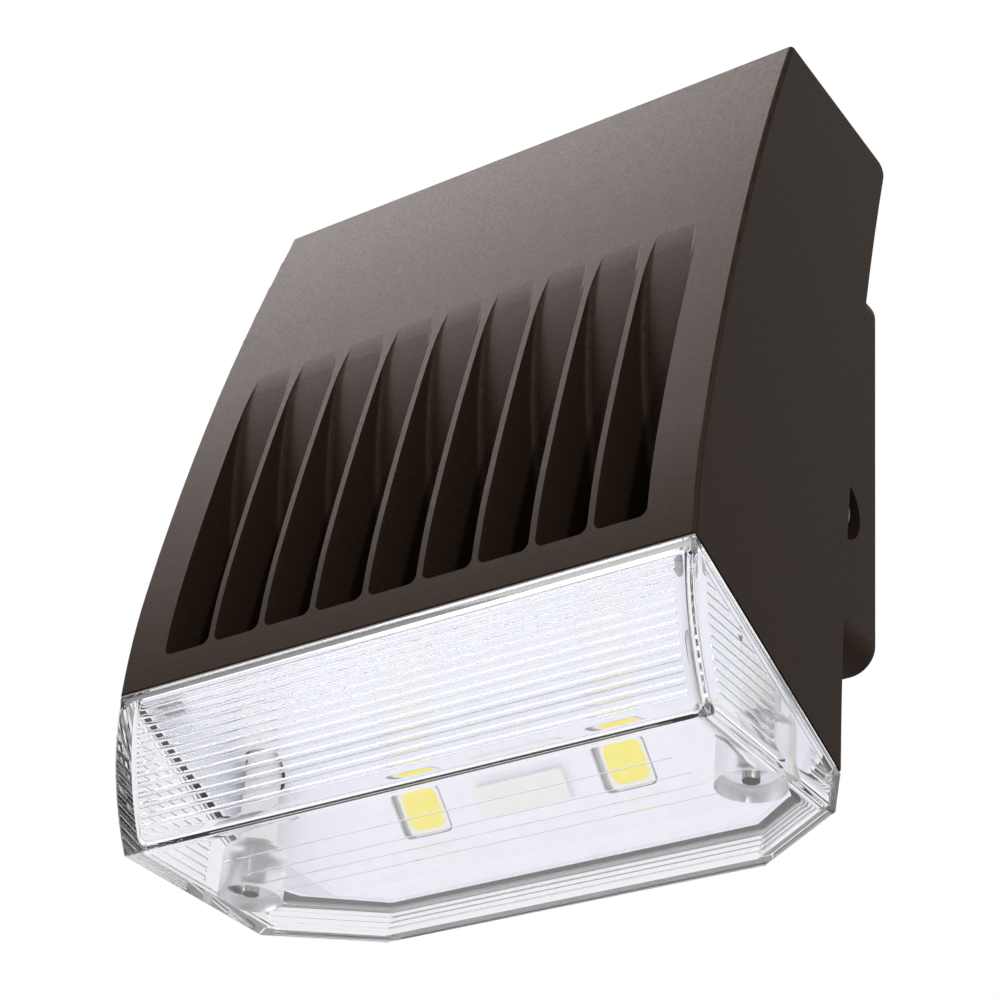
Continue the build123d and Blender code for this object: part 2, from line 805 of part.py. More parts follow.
def side_clip():
    """Retaining clip on the screw's groove, which keeps it in the box."""
    ring = rod_x(clip_radius, clip_from(), clip_from() + clip_thickness, side_screw_y, side_screw_z)
    return ring - rod_x(
        side_shank_radius - clip_groove, clip_from(), clip_from() + clip_thickness,
        side_screw_y, side_screw_z,
    )


def bracket_front():
    """Front face of the clamp bracket's foot, where its screw's head sits."""
    return deep_y - bracket_foot


def bracket_screw_x():
    """Its screw, midway over the land of the door seal."""
    return (land_inner + inner_half - bracket_side_gap) / 2


def clamp_bracket():
    """Steel hook on the door: its arm reaches into the back box, over the side screw's shank."""
    outer = side_boss_inner() - lug_gap
    inner = outer - lug_thickness
    rear = side_screw_y + lug_reach
    low = side_screw_z - lug_height / 2
    high = low + lug_height
    bracket = block(inner, outer, bracket_front(), rear, low, high)
    bracket += block(inner, inner_half - bracket_side_gap, bracket_front(), deep_y, low, high)
    slot = block(
        inner, outer, side_screw_y, rear,
        side_screw_z - lug_slot_width / 2, side_screw_z + lug_slot_width / 2,
    )
    slot += rod_x(lug_slot_width / 2, inner, outer, side_screw_y, side_screw_z)
    bracket -= slot
    hole = rod_y(bracket_screw_radius, bracket_front(), deep_y, bracket_screw_x(), side_screw_z)
    return bracket - hole


def bracket_screw():
    """Screw that holds the clamp bracket to the land's front side."""
    x = bracket_screw_x()
    front = bracket_front()
    screw = rod_y(bracket_screw_radius, front, front + bracket_screw_length, x, side_screw_z)
    return screw + rod_y(
        bracket_screw_head_radius, front - bracket_screw_head, front, x, side_screw_z
    )


def clamp_nut():
    """Bar nut behind the door's lug; its wing lies along the box's back and stops it turning."""
    outer = side_boss_inner() - 2 * lug_gap - lug_thickness
    nut = block(
        outer - nut_thickness, outer, side_screw_y - nut_front, -box_back - nut_gap,
        side_screw_z - nut_height / 2, side_screw_z + nut_height / 2,
    )
    hole = side_shank_radius + side_running
    return nut - rod_x(hole, outer - nut_thickness, outer, side_screw_y, side_screw_z)


# ---- lens ------------------------------------------------------------------
def lens_side(inset):
    """Side view of the lens, moved inwards by inset."""
    radius = lens_front_radius - inset
    centre_y = -body_depth + lens_front_radius
    low = lens_low_z + inset
    sweep = asin((lamp_corner_z - low) / radius)

    def on(angle):
        return (centre_y - radius * cos(angle), lamp_corner_z - radius * sin(angle))

    bow = ThreePointArc(on(0), on(sweep / 2), on(sweep))
    rest = Polyline(on(sweep), (0, low), (0, 0), (on(0)[0], 0), on(0))
    return make_face(bow + rest)


def lens_block(inset):
    """Solid inside one skin of the lens, up to the housing's lower edge."""
    body = along_x(lens_side(inset), -half + inset, half - inset)
    upper = offset(chamber_plan(), -inset) if inset else chamber_plan()
    lower = Pos(0, -lens_rear_lean) * upper
    room = along_z(upper, rear_low_z, 0)
    room += loft([Plane.XY.offset(lens_low_z) * lower, Plane.XY.offset(rear_low_z) * upper], ruled=True)
    return body & room


def lens_outside():
    """The lens's outer form with its rounded front corners and lower edges."""
    body = lens_block(0)
    low = body.edges().filter_by(lambda e: e.center().Z < lens_low_z + edge_round)
    return fillet(low + front_corners(body, half), edge_round)


def lens_room():
    """The lens's hollow; its corners are rounded more than the outside, so they look like bars."""
    room = lens_block(lens_wall)
    floor = lens_low_z + lens_wall
    low = room.edges().filter_by(lambda e: e.center().Z < floor + edge_round)
    low = low.filter_by(
        lambda e: e.center().Y < -body_depth / 2 or abs(e.center().X) > half - 2 * lens_wall
    )
    return fillet(low + front_corners(room, half - lens_wall), lens_inner_round)


def front_corners(body, side):
    """Edges between the front and the side faces of one skin of the lens."""
    return body.edges().filter_by(
        lambda e: abs(abs(e.center().X) - side) < edge_round
        and e.center().Y < -body_depth / 2
        and abs(e.tangent_at(0.5).Z) > 0.5
    )


def lens():
    body = lens_outside() - lens_room()
    body = body & along_x(above_edge(far), -far, far) - along_x(above_edge(lens_seal_depth), -far, far)
    post = rod_z(post_radius, lens_low_z + lens_wall / 2, post_top_z, post_x, post_y)
    post = fillet(post.edges().sort_by(Axis.Z)[-1], post_round)
    inside = lens_block(lens_wall / 2)
    for one in both_sides(post & inside):
        body += one
    for x in (-post_x, post_x):
        body -= rod_z(lens_screw_radius, post_top_z - post_thread, post_top_z, x, post_y)
    for groove in lens_flutes() + rim_lines() + rear_flutes() + floor_lines():
        body -= groove
    return body


def lens_flutes():
    """Light-spreading flutes on the inner faces of the front and side panes."""
    inner_radius = lens_front_radius - lens_wall
    centre_y = -body_depth + lens_front_radius
    out = rib_depth - rib_radius
    flutes = []
    side_x = half - lens_wall + out
    for i in range(rib_count):
        drop = lens_seal_depth + rib_top_gap + i * rib_pitch
        angle = asin(drop / inner_radius)
        reach = inner_radius + out
        y = centre_y - reach * cos(angle)
        z = lamp_corner_z - reach * sin(angle)
        flutes.append(rod_x(rib_radius, -half + 2 * lens_wall, half - 2 * lens_wall, y, z))
        rim_y = rim_meets(z)
        for y_from, y_to in (
            (y + lens_wall, min(post_y - post_radius, rim_y)),
            (post_y + post_radius, min(-rear_low_depth - lens_wall, rim_y)),
        ):
            if y_to - y_from > rib_pitch:
                flutes += both_sides(rod_y(rib_radius, y_from, y_to, side_x, z))
    return flutes


def rim_meets(z):
    """Depth at which the sloping end of the side flutes reaches a height."""
    end = rear_low_z - lens_seal_depth - rib_top_gap
    return far if z <= end else -rear_low_depth + (z - end) / edge_slope


def rim_lines():
    """Grooves that part the lens's rim from its fluted panes."""
    drop = lens_seal_depth + rim_height
    out = rim_groove_depth - rim_groove_radius
    front_y = -body_depth + lens_wall - out
    line = rod_x(
        rim_groove_radius, -half + 2 * lens_wall, half - 2 * lens_wall, front_y, lamp_corner_z - drop
    )
    side_x = half - lens_wall + out
    ends = [
        (side_x, y, rear_low_z - drop - edge_slope * (-rear_low_depth - y))
        for y in (-body_depth + 2 * lens_wall, -rear_low_depth - lens_wall)
    ]
    return [line, *both_sides(rod_between(rim_groove_radius, *ends))]


def rear_flutes():
    """Finer flutes on the inner faces of the rear pane and the two chamfers."""
    corner = Vector(chamber_rear_half, -chamber_rear_depth)
    side = Vector(half, -rear_low_depth)
    chamfer = (side - corner).normalized()
    normals = [Vector(0, 1), Vector(-chamfer.Y, chamfer.X), Vector(1, 0)]
    flutes = []
    for i in range(rear_rib_count):
        drop = lens_seal_depth + rear_rib_gap + i * rear_rib_pitch
        z = rear_low_z - drop
        lean = Vector(0, -lens_rear_lean * drop / lens_rear_height)
        inset = lens_wall + rear_rib_radius - rear_rib_depth
        ends = []
        for point, one, other in zip((corner, side), normals, normals[1:]):
            miter = (one + other) * (1 / (1 + one.dot(other)))
            ends.append(point + lean - miter * inset)
        (x, y), (side_x, side_y) = [(p.X, p.Y) for p in ends]
        flutes.append(rod_x(rear_rib_radius, -x, x, y, z))
        flutes += both_sides(rod_between(rear_rib_radius, (x, y, z), (side_x, side_y, z)))
    return flutes


def floor_lines():
    """Fine moulded lines on the lens's floor."""
    z = lens_low_z + lens_wall + floor_line_radius - floor_line_depth
    reach = post_x - post_radius
    return [rod_x(floor_line_radius, -reach, reach, y, z) for y in floor_line_places]


def lens_seal():
    """Seal between the housing's lower edge and the lens."""
    side = (lens_wall - lens_seal_width) / 2
    ring = seal_plan(side) - seal_plan(side + lens_seal_width)
    band = along_z(ring, lens_low_z, 0)
    slab = above_edge(lens_seal_depth) - above_edge(0)
    return band & along_x(slab, -half, half)


def seal_plan(inset):
    """Plan of the lens's rim, moved inwards by inset."""
    width = body_width - 2 * inset
    depth = body_depth - inset
    return offset(chamber_plan(), -inset) & Rectangle(width, 2 * depth)


def lens_screw():
    """Screw from the driver's cavity down through the roof into the lens's clear post."""
    seat = chamber_roof_z + lens_washer
    head_top = seat + lens_screw_head
    screw = rod_z(lens_screw_radius, post_top_z - post_thread, seat, post_x, post_y)
    screw += rod_z(lens_screw_head_radius, seat, head_top, post_x, post_y)
    for turn in (0, 90):
        arm = Box(drive_width, drive_span, drive_depth)
        screw -= Pos(post_x, post_y, head_top - drive_depth / 2) * Rot(0, 0, turn) * arm
    return screw


def lens_washer_ring():
    """Sealing washer under the lens screw's head."""
    top = chamber_roof_z + lens_washer
    ring = rod_z(lens_washer_radius, chamber_roof_z, top, post_x, post_y)
    return ring - rod_z(lens_screw_radius, chamber_roof_z, top, post_x, post_y)


def lens_spacer():
    """White sleeve round the lens screw, between the chamber's roof and the post."""
    sleeve = rod_z(spacer_radius, post_top_z, roof_under_z, post_x, post_y)
    return sleeve - rod_z(lens_screw_radius + lens_screw_hole, post_top_z, roof_under_z, post_x, post_y)


# ---- reflector tray and lamp -----------------------------------------------
def sheet_outline(points, thickness):
    """Outline of a bent sheet: its lower side on the points, its thickness upwards."""
    normals = []
    for a, b in zip(points, points[1:]):
        run = (Vector(*b) - Vector(*a)).normalized()
        normals.append(Vector(-run.Y, run.X))
    upper = [Vector(*points[0]) + normals[0] * thickness]
    for p, before, after in zip(points[1:], normals, normals[1:]):
        middle = (before + after).normalized()
        upper.append(Vector(*p) + middle * (thickness / middle.dot(before)))
    upper.append(Vector(*points[-1]) + normals[-1] * thickness)
    return outline(*points, *[(v.X, v.Y) for v in reversed(upper)])


def tray_skirt(plan):
    """Edge of the tray turned down to the housing's lower edge, all the way round."""
    low = rear_low_z + tray_skirt_gap
    front = tray_points[0][0]
    under = outline(
        *tray_points, (tray_points[-1][0], low), (-rear_low_depth, low),
        (front, low - edge_slope * (-rear_low_depth - front)),
    )
    ring = along_z(plan, lens_low_z, 0) - along_z(offset(plan, -tray_sheet), lens_low_z, 0)
    return ring & along_x(under, -half, half)


def tray():
    """White reflector tray with a window for each lamp and one for the wire joint."""
    side = inner_half - tray_edge_gap
    body = along_x(sheet_outline(tray_points, tray_sheet), -side, side)
    front = tray_points[0][0]
    plan = outline(
        (-side, front), (side, front), (side, -tray_side_depth - (side - tray_side_half)),
        (tray_side_half, -tray_side_depth), (tray_rear_half, -tray_rear_depth),
        (-tray_rear_half, -tray_rear_depth), (-tray_side_half, -tray_side_depth),
        (-side, -tray_side_depth - (side - tray_side_half)),
    )
    body = body & along_z(plan, lens_low_z, 0)
    body += tray_skirt(plan)
    for x in (-post_x, post_x):
        body -= rod_z(spacer_radius + tray_edge_gap, lens_low_z, 0, x, post_y)
    depth = tray_sheet + board_gap
    for x in (-lamp_x, lamp_x):
        left = x - lamp_frame / 2 - window_slit
        right = x + lamp_frame / 2 + window_gap
        window = Pos((left + right) / 2, 0) * rounded(
            right - left, lamp_frame + 2 * window_gap, lamp_frame_round
        )
        body -= on_lamp(window, -depth, depth)
    joint = Pos(0, (cover_slot_high - cover_slot_low) / 2) * Rectangle(
        2 * cover_slot_half, cover_slot_low + cover_slot_high
    )
    body -= on_lamp(joint, -depth, depth)
    for x in (-tray_screw_x, tray_screw_x):
        body -= rod_z(tray_screw_radius, lens_low_z, 0, x, tray_screw_y)
    return body


def tray_screw():
    """Screw that holds the tray to the chamber's roof."""
    top = tray_seat_z + tray_screw_length
    screw = rod_z(tray_screw_radius, tray_seat_z, top, tray_screw_x, tray_screw_y)
    head_low = tray_seat_z - tray_screw_head
    return screw + rod_z(tray_screw_head_radius, head_low, tray_seat_z, tray_screw_x, tray_screw_y)


def lamp_board():
    """Metal-core board behind the tray, which carries both lamps."""
    sheet = Pos(0, (board_up - board_down) / 2) * Rectangle(2 * board_half, board_up + board_down)
    body = on_lamp(sheet, board_back, board_front)
    for x, y in board_screw_places():
        body -= on_lamp(Pos(x, y) * Circle(board_screw_radius), board_back, board_front)
    return body


def thermal_pad():
    """Soft pad between the board and one of the casting's sloping pads."""
    sheet = Pos((pad_inner + board_half) / 2, (board_up - board_down) / 2) * Rectangle(
        board_half - pad_inner, board_up + board_down
    )
    body = on_lamp(sheet, pad_back, board_back)
    for x, y in board_screw_places():
        if x > 0:
            body -= on_lamp(Pos(x, y) * Circle(board_screw_radius), pad_back, board_back)
    return body


def board_screw(x, y):
    """One screw of the lamp board."""
    head = Pos(x, y) * Circle(board_screw_head_radius)
    shank = Pos(x, y) * Circle(board_screw_radius)
    screw = on_lamp(head, board_front, board_front + board_screw_head)
    return screw + on_lamp(shank, board_front - board_screw_length, board_front)


def phosphor_face():
    """Outline of a lamp's yellow field."""
    return Pos(0, phosphor_lift) * rounded(phosphor_width, phosphor_height, phosphor_round)


def lamp_body(x):
    """White frame of one lamp, on the board and proud of the tray."""
    frame = Pos(x, 0) * rounded(lamp_frame, lamp_frame, lamp_frame_round)
    body = on_lamp(frame, board_front, lamp_frame_rise)
    return body - on_lamp(Pos(x, 0) * phosphor_face(), lamp_frame_rise - phosphor_depth, lamp_frame_rise)


def phosphor(x):
    """Yellow field that fills one lamp's frame."""
    return on_lamp(Pos(x, 0) * phosphor_face(), lamp_frame_rise - phosphor_depth, lamp_frame_rise)


def wire_cover():
    """Raised white cap over the joint between leads and board."""
    face = Pos(0, (cover_high - cover_low) / 2) * rounded(
        2 * cover_half, cover_low + cover_high, edge_round
    )
    return on_lamp(face, 0, cover_rise)


# ---- driver ----------------------------------------------------------------
def driver_case():
    """Open case with a screw flange at each end."""
    rear = driver_front_y + driver_depth - driver_lid
    high = driver_low_z + driver_height
    body = block(-driver_half, driver_half, driver_front_y, rear, driver_low_z, high)
    body -= block(
        -driver_half + driver_wall, driver_half - driver_wall, driver_front_y + driver_wall, rear,
        driver_low_z + driver_wall, high - driver_wall,
    )
    end = driver_half + driver_flange
    body += block(
        -end, end, driver_front_y, driver_front_y + driver_flange_thickness, driver_low_z, high
    ) - block(-driver_half, driver_half, driver_front_y, 0, driver_low_z, high)
    x, heights = driver_screw_places()
    for z in heights:
        for one in both_sides(rod_y(driver_screw_radius, driver_front_y, 0, x, z)):
            body -= one
    return body


def driver_cover():
    """Lid on the driver's case, towards the back box."""
    rear = driver_front_y + driver_depth
    return block(
        -driver_half, driver_half, rear - driver_lid, rear, driver_low_z, driver_low_z + driver_height
    )


def driver_board():
    """Circuit board that rests on four short legs of the case."""
    edge = driver_wall + driver_board_edge
    front = driver_front_y + driver_wall + driver_board_gap
    board = block(
        -driver_half + edge, driver_half - edge, front, front + driver_board_thickness,
        driver_low_z + edge, driver_low_z + driver_height - edge,
    )
    x = driver_half - board_leg_inset
    for z in (driver_low_z + board_leg_inset, driver_low_z + driver_height - board_leg_inset):
        for leg in both_sides(rod_y(edge, driver_front_y + driver_wall, front, x, z)):
            board += leg
    return board


def driver_parts():
    """Transformer, capacitors and choke that stand on the board."""
    base = driver_front_y + driver_wall + driver_board_gap + driver_board_thickness
    middle = driver_low_z + driver_height / 2
    room = driver_front_y + driver_depth - driver_lid - base
    transformer = block(
        -transformer_width / 2, transformer_width / 2, base, base + room - component_gap,
        middle - transformer_height / 2, middle + transformer_height / 2,
    )
    capacitors = [
        rod_y(capacitor_radius, base, base + room - capacitor_gap, x, middle + capacitor_rise)
        for x in capacitor_places
    ]
    choke = rod_y(choke_radius, base, base + choke_length, choke_x, middle)
    return [transformer, *capacitors, choke]


def driver_screw(x, z):
    """One screw of the driver's flanges."""
    seat = driver_front_y + driver_flange_thickness
    screw = rod_y(driver_screw_radius, seat - driver_screw_length, seat, x, z)
    return screw + rod_y(driver_screw_head_radius, seat, seat + driver_screw_head, x, z)


# ---- wires -----------------------------------------------------------------
def supply_lead(x):
    """Lead from the driver's lower side down into its wire connector."""
    return rod_z(wire_radius, driver_low_z - supply_length, driver_low_z, x, supply_y)


def wire_connector(x):
    """Twist-on connector: a tapered cap that holds the lead's end."""
    mouth = driver_low_z - supply_length + nut_cap_socket
    cap = Pos(x, supply_y, mouth - nut_cap_length / 2) * Cone(
        nut_cap_tip_radius, nut_cap_radius, nut_cap_length
    )
    return cap - rod_z(wire_radius, mouth - nut_cap_socket, mouth, x, supply_y)


def lead_route(x):
    """Middle line of one lead from the driver, through the chamber's roof, to the board."""
    foot_z = lamp_z - (lead_foot_y - lamp_y) - board_back / lamp_plane.z_dir.Z
    bend_z = roof_under_z - grommet_flange - lead_bend
    return [
        (x, lead_y, driver_low_z),
        (x, lead_y, bend_z),
        (x, lead_foot_y, bend_z - lead_bend),
        (x, lead_foot_y, foot_z),
    ]


def lamp_lead(x):
    """One lead from the driver to the lamp board."""
    path = FilletPolyline(*lead_route(x), radius=[2 * wire_radius, 2 * wire_radius])
    section = Plane(origin=path @ 0, z_dir=path % 0) * Circle(wire_radius)
    ahead_of_board = extrude(lamp_plane.offset(board_back) * Rectangle(far, far), far)
    return sweep(section, path=path) - ahead_of_board


def grommet():
    """Rubber grommet in the chamber's roof, closed round the two leads."""
    body = rod_z(grommet_hole_radius, roof_under_z, chamber_roof_z, 0, lead_y)
    for low, high in ((roof_under_z - grommet_flange, roof_under_z), (chamber_roof_z, chamber_roof_z + grommet_flange)):
        body += rod_z(grommet_flange_radius, low, high, 0, lead_y)
    for x in (-lead_half_pitch, lead_half_pitch):
        body -= rod_z(wire_radius, roof_under_z - wall, chamber_roof_z + wall, x, lead_y)
    return body


# ---- write the sub-parts ---------------------------------------------------
os.makedirs("parts", exist_ok=True)
supply_places = [supply_x + i * supply_pitch for i in range(3)]
driver_x, driver_heights = driver_screw_places()
driver_screws = [driver_screw(x, z) for x in (-driver_x, driver_x) for z in driver_heights]

front, frame, hood = casting_parts()
save("housing_front", [front])
save("housing_frame", [frame])
save("lamp_hood", [hood])
save("door_gasket", [door_seal()])
save("back_box", [back_box()])
save("wall_gasket", [wall_seal()])
save("hinge_pins", both_sides(hinge_pin()))
save("ground_screw", [ground_screw()])
save("side_screw_right", [side_screw()])
save("side_screw_left", [mirrored(side_screw())])
save("side_clip_right", [side_clip()])
save("side_clip_left", [mirrored(side_clip())])
save("clamp_bracket_right", [clamp_bracket()])
save("clamp_bracket_left", [mirrored(clamp_bracket())])
save("bracket_screws", both_sides(bracket_screw()))
save("clamp_nut_right", [clamp_nut()])
save("clamp_nut_left", [mirrored(clamp_nut())])
save("refractive_lens", [lens()])
save("lens_gasket", [lens_seal()])
save("lens_screws", both_sides(lens_screw()))
save("lens_screw_seals", both_sides(lens_washer_ring()))
save("lens_spacers", both_sides(lens_spacer()))
save("reflector", [tray()])
save("reflector_screws", both_sides(tray_screw()))
save("led_board", [lamp_board()])
save("thermal_pads", both_sides(thermal_pad()))
save("board_screws", [board_screw(x, y) for x, y in board_screw_places()])
save("led_packages", [lamp_body(x) for x in (-lamp_x, lamp_x)])
save("led_phosphors", [phosphor(x) for x in (-lamp_x, lamp_x)])
save("wire_cover", [wire_cover()])
save("driver_case", [driver_case()])
save("driver_cover", [driver_cover()])
save("driver_board", [driver_board()])
save("driver_components", driver_parts())
save("driver_screws", driver_screws)
save("supply_leads", [supply_lead(x) for x in supply_places])
save("wire_connectors", [wire_connector(x) for x in supply_places])
save("led_leads", [lamp_lead(x) for x in (-lead_half_pitch, lead_half_pitch)])
save("lead_grommet", [grommet()])
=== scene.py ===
"""Looks of the wall pack light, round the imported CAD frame."""

import json
import math

import bpy
from mathutils import Matrix, Vector

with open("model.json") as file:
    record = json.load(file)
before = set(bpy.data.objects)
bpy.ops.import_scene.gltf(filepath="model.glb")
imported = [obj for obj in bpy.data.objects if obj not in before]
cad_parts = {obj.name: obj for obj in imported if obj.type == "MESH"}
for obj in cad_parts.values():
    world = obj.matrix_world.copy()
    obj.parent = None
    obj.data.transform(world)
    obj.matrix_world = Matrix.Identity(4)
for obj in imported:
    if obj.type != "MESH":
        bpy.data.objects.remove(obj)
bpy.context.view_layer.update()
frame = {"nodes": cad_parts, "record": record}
nodes = frame["nodes"]
MM = 0.001

# ---- camera -----------------------------------------------------------------
# The photograph's viewpoint, from below and to the right of the light.
CAMERA_PLACE = Vector((326.2, -479.5, -353.4)) * MM
CAMERA_RIGHT = Vector((0.81983, 0.56734, 0.07751))
CAMERA_DOWN = Vector((-0.25102, 0.47776, -0.84187))
FOCAL_PIXELS = 2575.0
PHOTO_PIXELS = 1000.0
SENSOR = 36.0
NEAREST, FARTHEST = 0.01, 20.0


def add_camera():
    data = bpy.data.cameras.new("camera")
    data.sensor_width = SENSOR
    data.lens = FOCAL_PIXELS / PHOTO_PIXELS * SENSOR
    data.clip_start, data.clip_end = NEAREST, FARTHEST
    camera = bpy.data.objects.new("camera", data)
    bpy.context.scene.collection.objects.link(camera)
    right = CAMERA_RIGHT.normalized()
    up = -(CAMERA_DOWN - right * CAMERA_DOWN.dot(right)).normalized()
    back = right.cross(up)
    turn = Matrix((right, up, back)).transposed()
    camera.matrix_world = Matrix.Translation(CAMERA_PLACE) @ turn.to_4x4()
    bpy.context.scene.camera = camera


# ---- shader helpers ---------------------------------------------------------
def srgb(red, green, blue):
    """Linear colour from 0-255 display values."""
    def linear(value):
        value /= 255.0
        return value / 12.92 if value <= 0.04045 else ((value + 0.055) / 1.055) ** 2.4

    return (linear(red), linear(green), linear(blue), 1.0)


def grey(value):
    """A ramp colour that stands for a number."""
    return (value, value, value, 1.0)


def find_node(tree, kind):
    """The node of a type that a new tree starts with."""
    return next(node for node in tree.nodes if node.type == kind)


def new_material(name):
    """A material with its node tree and Principled shader."""
    material = bpy.data.materials.new(name)
    material.use_nodes = True
    tree = material.node_tree
    return material, tree, find_node(tree, "BSDF_PRINCIPLED")


def object_place(tree):
    """Coordinates that stay with the piece, in metres."""
    return tree.nodes.new("ShaderNodeTexCoord").outputs["Object"]


def noise(tree, scale, detail, rough=0.5):
    """A noise texture on object coordinates; scale is features per metre."""
    texture = tree.nodes.new("ShaderNodeTexNoise")
    texture.inputs["Scale"].default_value = scale
    texture.inputs["Detail"].default_value = detail
    texture.inputs["Roughness"].default_value = rough
    tree.links.new(object_place(tree), texture.inputs["Vector"])
    return texture.outputs["Fac"]


def ramp(tree, factor, low, high):
    """Colour ramp over a factor, from one (place, colour) to the other."""
    node = tree.nodes.new("ShaderNodeValToRGB")
    for element, (place, colour) in zip(node.color_ramp.elements, (low, high)):
        element.position = place
        element.color = colour
    tree.links.new(factor, node.inputs["Fac"])
    return node.outputs["Color"]


def bump(tree, shader, height, distance, strength):
    """Relief of a surface, without moving it."""
    node = tree.nodes.new("ShaderNodeBump")
    node.inputs["Distance"].default_value = distance
    node.inputs["Strength"].default_value = strength
    tree.links.new(height, node.inputs["Height"])
    tree.links.new(node.outputs["Normal"], shader.inputs["Normal"])


def step(tree, value, start, end, low=0.0, high=1.0):
    """A number that goes from low to high as a value goes from start to end."""
    node = tree.nodes.new("ShaderNodeMapRange")
    for name, number in (("From Min", start), ("From Max", end), ("To Min", low), ("To Max", high)):
        node.inputs[name].default_value = number
    tree.links.new(value, node.inputs["Value"])
    return node.outputs["Result"]


def math_node(tree, operation, one, other=None):
    """An operation on one output, on two outputs, or on an output and a number."""
    node = tree.nodes.new("ShaderNodeMath")
    node.operation = operation
    tree.links.new(one, node.inputs[0])
    if isinstance(other, float):
        node.inputs[1].default_value = other
    elif other is not None:
        tree.links.new(other, node.inputs[1])
    return node.outputs["Value"]


def mix_shaders(tree, factor, one, other):
    """One shader where the factor is 0, the other where it is 1."""
    node = tree.nodes.new("ShaderNodeMixShader")
    for source, socket in zip((factor, one, other), node.inputs):
        tree.links.new(source, socket)
    return node.outputs["Shader"]


# ---- materials --------------------------------------------------------------
# Grain of the powder coat, in features per metre, and its relief, in metres.
SPECKLE_GRAIN, GLOSS_GRAIN, RELIEF_GRAIN = 3000.0, 900.0, 2200.0
COAT_DARK, COAT_LIGHT = srgb(30, 22, 16), srgb(44, 34, 27)
COAT_ROUGH_LOW, COAT_ROUGH_HIGH = 0.4, 0.48
COAT_SHINE, COAT_SHINE_TINT = 0.035, (1.0, 0.86, 0.79, 1.0)
COAT_RELIEF, COAT_RELIEF_STRENGTH = 0.1 * MM, 0.06

# The two screw posts of the lens, and the dull skin on them.
POST_X, POST_Y, POST_RADIUS = 70 * MM, -48 * MM, 8 * MM
LENS_LOW = -106.5 * MM
SKIN_FADE = (0.3 * MM, 0.1 * MM)
SKIN_START = (1.0 * MM, 1.5 * MM)
POLISHED, DULL = 0.02, 0.3

# The clear acrylic. A ray that has been bent more often than DEEPEST goes straight on.
ACRYLIC_IOR = 1.49
ACRYLIC_COLOUR, THROUGH_COLOUR = srgb(250, 251, 253), srgb(253, 253, 254)
HAZE_COLOUR, HAZE_DENSITY = (0.52, 0.50, 0.50, 1.0), 16.0
DEEPEST = 5.5

# How far gloss swings round its mean, and the finer grain of the relief.
GLOSS_LOW, GLOSS_HIGH = 0.85, 1.15
RELIEF_FINER, RELIEF_STRENGTH = 3, 0.4


def powder_coat(name):
    """Speckled powder coat: fine grain in colour, gloss and relief."""
    material, tree, shader = new_material(name)
    speckle = noise(tree, SPECKLE_GRAIN, 1.0, 0.6)
    colour = ramp(tree, speckle, (0.4, COAT_DARK), (0.7, COAT_LIGHT))
    tree.links.new(colour, shader.inputs["Base Color"])
    gloss = noise(tree, GLOSS_GRAIN, 2.0)
    rough = ramp(tree, gloss, (0.3, grey(COAT_ROUGH_LOW)), (0.7, grey(COAT_ROUGH_HIGH)))
    tree.links.new(rough, shader.inputs["Roughness"])
    shader.inputs["Specular IOR Level"].default_value = COAT_SHINE
    shader.inputs["Specular Tint"].default_value = COAT_SHINE_TINT
    bump(tree, shader, noise(tree, RELIEF_GRAIN, 1.0), COAT_RELIEF, COAT_RELIEF_STRENGTH)
    return material


def post_frost(tree):
    """Roughness of the lens: polished panes, and two posts with a drawn, dull skin."""
    split = tree.nodes.new("ShaderNodeSeparateXYZ")
    tree.links.new(object_place(tree), split.inputs["Vector"])
    across = math_node(tree, "ABSOLUTE", split.outputs["X"])
    across = math_node(tree, "SUBTRACT", across, POST_X)
    along = math_node(tree, "SUBTRACT", split.outputs["Y"], POST_Y)
    square = math_node(tree, "ADD", math_node(tree, "MULTIPLY", across, across),
                       math_node(tree, "MULTIPLY", along, along))
    away = math_node(tree, "SQRT", square)
    near = step(tree, away, *(POST_RADIUS + fade for fade in SKIN_FADE))
    above = step(tree, split.outputs["Z"], *(LENS_LOW + rise for rise in SKIN_START))
    skin = math_node(tree, "MULTIPLY", near, above)
    return step(tree, skin, 0.0, 1.0, POLISHED, DULL)


def clear_acrylic(name):
    """Moulded clear acrylic that lets lamp light through to the pieces behind it."""
    material, tree, shader = new_material(name)
    shader.inputs["Base Color"].default_value = ACRYLIC_COLOUR
    tree.links.new(post_frost(tree), shader.inputs["Roughness"])
    shader.inputs["IOR"].default_value = ACRYLIC_IOR
    shader.inputs["Transmission Weight"].default_value = 1.0
    ray = tree.nodes.new("ShaderNodeLightPath").outputs
    light = math_node(tree, "MAXIMUM", ray["Is Shadow Ray"], ray["Is Diffuse Ray"])
    deep = math_node(tree, "GREATER_THAN", ray["Ray Depth"], DEEPEST)
    straight = math_node(tree, "MAXIMUM", light, deep)
    through = tree.nodes.new("ShaderNodeBsdfTransparent")
    through.inputs["Color"].default_value = THROUGH_COLOUR
    whole = mix_shaders(tree, straight, shader.outputs["BSDF"], through.outputs["BSDF"])
    out = find_node(tree, "OUTPUT_MATERIAL")
    tree.links.new(whole, out.inputs["Surface"])
    haze = tree.nodes.new("ShaderNodeVolumeAbsorption")
    haze.inputs["Color"].default_value = HAZE_COLOUR
    haze.inputs["Density"].default_value = HAZE_DENSITY
    tree.links.new(haze.outputs["Volume"], out.inputs["Volume"])
    return material


